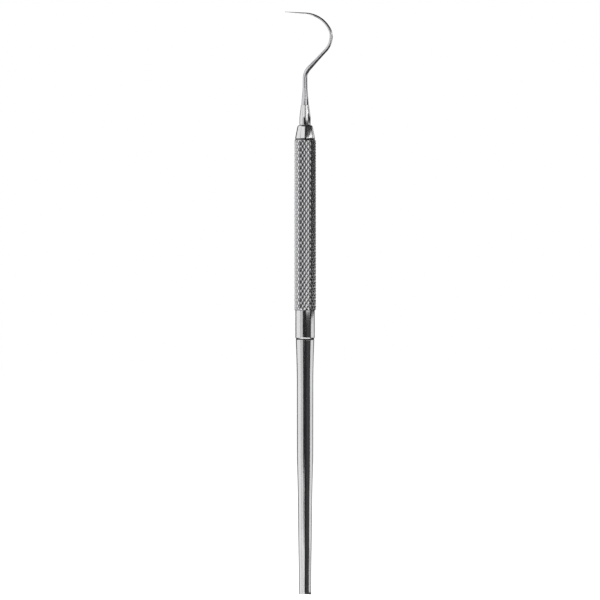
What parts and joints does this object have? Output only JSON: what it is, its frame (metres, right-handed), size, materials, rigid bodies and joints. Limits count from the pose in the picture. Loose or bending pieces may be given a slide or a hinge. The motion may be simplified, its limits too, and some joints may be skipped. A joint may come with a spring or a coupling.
{
  "type": "hook scriber",
  "caption": "Hook scriber with a knurled pin-vice handle, a tapered screw-in tail, a collet nose and a bent, interchangeable needle point.",
  "frame": {"origin": "centre of the flat end face of the tail", "axes": "+Z along the handle from the tail to the point, +X towards the side the hook's knee bulges to"},
  "size_m": [0.0135, 0.0062, 0.1649],
  "materials": {
    "turned_steel": "polished",
    "knurled_steel": "satin",
    "core_steel": "satin",
    "blackened_steel": "satin",
    "spring_steel": "polished",
    "collet_bronze": "satin",
    "needle_steel": "polished"
  },
  "bodies": {
    "handle": {"core_tube": "core_steel", "knurled_grip": "knurled_steel", "collar": "turned_steel", "stop_screw": "blackened_steel", "collet_spring": "spring_steel", "collet_key": "blackened_steel", "nose_washer": "blackened_steel"},
    "tail_ring_body": {"tail_ring": "blackened_steel"},
    "tail_body": {"tail": "turned_steel"},
    "collet_body": {"collet": "collet_bronze"},
    "nose_body": {"nose_cone": "turned_steel"},
    "bush_body": {"tang_bush": "collet_bronze"},
    "point_body": {"point_ferrule": "turned_steel", "hook_needle": "needle_steel"}
  },
  "joints": [
    {"name": "tail_travel", "type": "slide", "parent": "handle", "child": "tail_ring_body", "axis": [0, 0, -1], "range_m": [0, 0.005]},
    {"name": "tail_turn", "type": "hinge", "parent": "tail_ring_body", "child": "tail_body", "pos_m": [0, 0, 0.072], "axis": [0, 0, -1], "range_deg": [0, 3620]},
    {"name": "collet_travel", "type": "slide", "parent": "handle", "child": "collet_body", "axis": [0, 0, 1], "range_m": [0, 0.001], "deforming": ["collet_spring"]},
    {"name": "nose_turn", "type": "hinge", "parent": "collet_body", "child": "nose_body", "pos_m": [0, 0, 0.1289], "axis": [0, 0, 1], "range_deg": [0, 725]},
    {"name": "point_turn", "type": "hinge", "parent": "collet_body", "child": "bush_body", "pos_m": [0, 0, 0.1328], "axis": [0, 0, 1], "continuous": true},
    {"name": "point_pull", "type": "slide", "parent": "bush_body", "child": "point_body", "axis": [0, 0, 1], "range_m": [0, 0.0125]}
  ],
  "couplings": [
    {"joint": "tail_turn", "follows": "tail_travel", "rad_per_m": 12566},
    {"joint": "nose_turn", "follows": "collet_travel", "rad_per_m": 12566}
  ]
}
